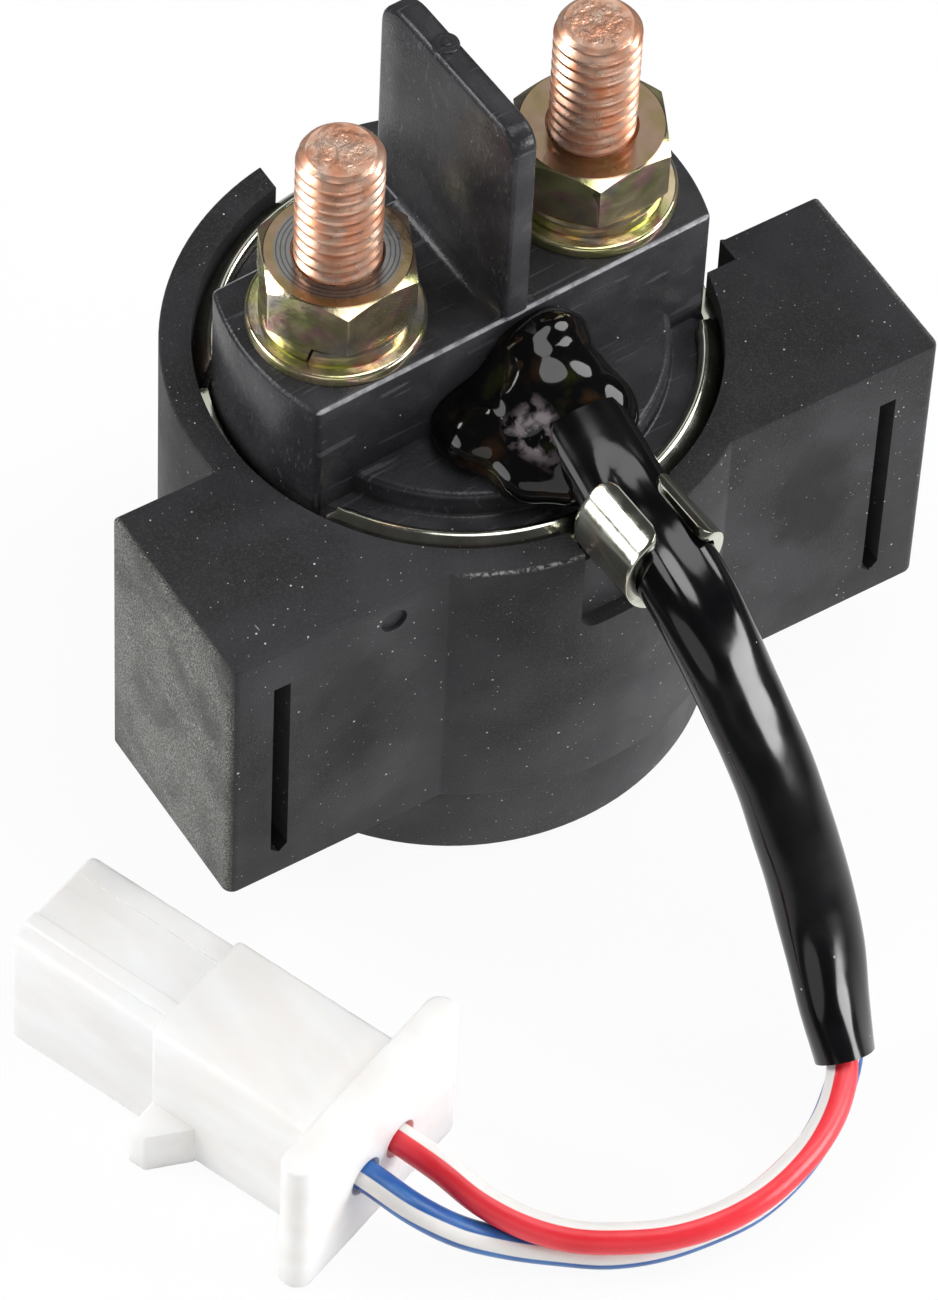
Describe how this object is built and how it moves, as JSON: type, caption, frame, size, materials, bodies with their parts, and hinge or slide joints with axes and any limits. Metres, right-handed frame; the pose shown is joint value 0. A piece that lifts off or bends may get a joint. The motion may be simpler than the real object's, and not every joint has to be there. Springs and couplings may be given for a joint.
{
  "type": "solenoid switch",
  "caption": "Round canned solenoid switch with threaded studs in a winged rubber mount, with a sleeved lead to a plug-in wire connector.",
  "frame": {"origin": "middle of the can's flat underside", "axes": "+Z along the can's axis towards the studs, +X from the left stud to the right stud, -Y towards the side that the lead leaves from"},
  "size_m": [0.0719, 0.0738, 0.0603],
  "materials": {
    "rubber": "matte",
    "zinc_steel": "satin",
    "black_plastic": "satin",
    "copper": "satin",
    "yellow_zinc": "satin",
    "resin": "gloss",
    "sleeve_plastic": "gloss",
    "red_insulation": "satin",
    "blue_insulation": "satin",
    "white_nylon": "satin",
    "steel": "satin",
    "enamelled_wire": "gloss",
    "natural_nylon": "satin",
    "tinned_brass": "satin",
    "gasket_rubber": "matte"
  },
  "bodies": {
    "base": {"rubber_mount": "rubber", "can_shell": "zinc_steel", "terminal_cover": "black_plastic", "stud_left": "copper", "stud_right": "copper", "flat_washers": "yellow_zinc", "spring_washers": "yellow_zinc", "hex_nuts": "yellow_zinc", "potting": "resin", "lead_sleeve": "sleeve_plastic", "wire_red": "red_insulation", "wire_blue": "blue_insulation", "connector_housing": "white_nylon", "blade_terminals": "tinned_brass", "coil_bobbin": "natural_nylon", "coil_winding": "enamelled_wire", "coil_leads": "enamelled_wire", "pole_piece": "steel", "flux_plate": "steel", "cover_gasket": "gasket_rubber", "return_spring": "steel"},
    "plunger_group": {"plunger": "steel", "plunger_rod": "steel", "retaining_clip": "steel", "contact_spring": "steel"},
    "contact_group": {"contact_bridge": "copper", "contact_bush": "natural_nylon", "insulating_washer": "natural_nylon"}
  },
  "joints": [
    {"name": "plunger_lift", "type": "slide", "parent": "base", "child": "plunger_group", "axis": [0, 0, 1], "range_m": [0, 0.003], "stiffness_N_per_m": 800, "springref_m": -0.002, "deforming": ["return_spring", "contact_spring"]},
    {"name": "contact_lift", "type": "slide", "parent": "base", "child": "contact_group", "axis": [0, 0, 1], "range_m": [0, 0.00198]}
  ],
  "couplings": [
    {"joint": "contact_lift", "follows": "plunger_lift", "ratio": 0.66}
  ]
}
